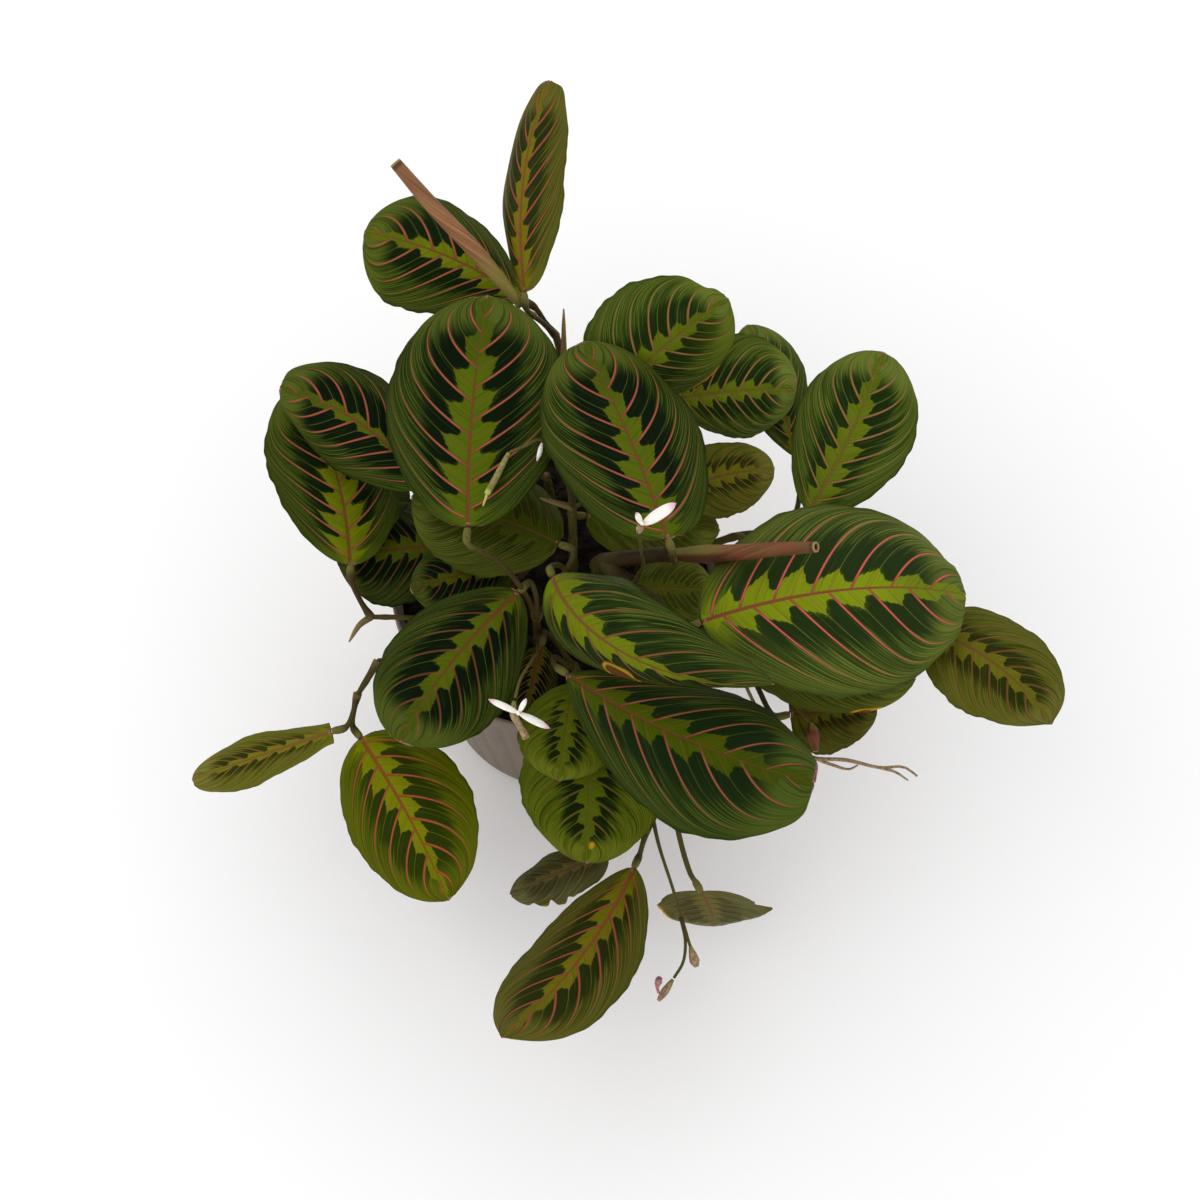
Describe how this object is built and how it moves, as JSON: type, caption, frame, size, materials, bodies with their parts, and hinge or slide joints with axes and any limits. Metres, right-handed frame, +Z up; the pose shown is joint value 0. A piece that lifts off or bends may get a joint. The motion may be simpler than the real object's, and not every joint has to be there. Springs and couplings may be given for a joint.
{
  "type": "potted prayer plant",
  "caption": "Red-veined prayer plant with broad patterned leaves spreading over the rim of a ribbed nursery pot.",
  "frame": {"origin": "middle of the pot's flat foot, on the surface that it stands on", "axes": "+Z up the pot's axis, +X to the viewer's right, -Y towards the viewer"},
  "size_m": [0.3818, 0.3956, 0.2471],
  "materials": {
    "leaf": "satin",
    "stem": "satin",
    "rolled_leaf": "satin",
    "petal": "satin",
    "dry_bract": "matte",
    "pot": "matte",
    "soil": "matte"
  },
  "bodies": {
    "root": {"stem_back": "stem", "stem_centre_left": "stem", "stem_left_upper": "stem", "stem_left_inner": "stem", "stem_left": "stem", "stem_front_left": "stem", "stem_right": "stem", "stem_back_right": "stem", "stem_right_back": "stem", "stem_right_low": "stem", "stem_centre_front": "stem", "stem_front": "stem", "stem_front_outer": "stem", "leaf_back_upright": "leaf", "leaf_back_left": "leaf", "leaf_centre_left": "leaf", "leaf_inner_left": "leaf", "leaf_front_left_broad": "leaf", "leaf_left_upper": "leaf", "leaf_left_under": "leaf", "leaf_inner_left_low": "leaf", "leaf_left_lower": "leaf", "leaf_far_left_curled": "leaf", "leaf_front_left_outer": "leaf", "leaf_centre_right": "leaf", "leaf_right_broad": "leaf", "leaf_back_right": "leaf", "leaf_right_upper": "leaf", "leaf_right_inner": "leaf", "leaf_inner_right": "leaf", "leaf_right_back_low": "leaf", "leaf_right_tall": "leaf", "leaf_inner_right_low": "leaf", "leaf_right_under": "leaf", "leaf_far_right": "leaf", "leaf_right_low": "leaf", "leaf_centre_twisted": "leaf", "leaf_front_right_broad": "leaf", "leaf_front_upper": "leaf", "leaf_front_pale": "leaf", "leaf_front_shaded": "leaf", "leaf_front_outer": "leaf", "leaf_front_outer_under": "leaf", "leaf_front_hanging": "leaf", "pot": "pot", "soil": "soil", "rolled_leaf_back": "rolled_leaf", "rolled_leaf_right": "rolled_leaf", "rolled_leaf_right_low": "rolled_leaf", "bud_centre": "dry_bract", "bud_small_centre": "petal", "flower_right_cup": "dry_bract", "flower_right_petals": "petal", "flower_front_cup": "dry_bract", "flower_front_petals": "petal", "bract_front_right": "dry_bract", "bract_front_left": "dry_bract", "withered_flower_front": "rolled_leaf", "dry_stalk_right": "dry_bract"}
  },
  "joints": []
}
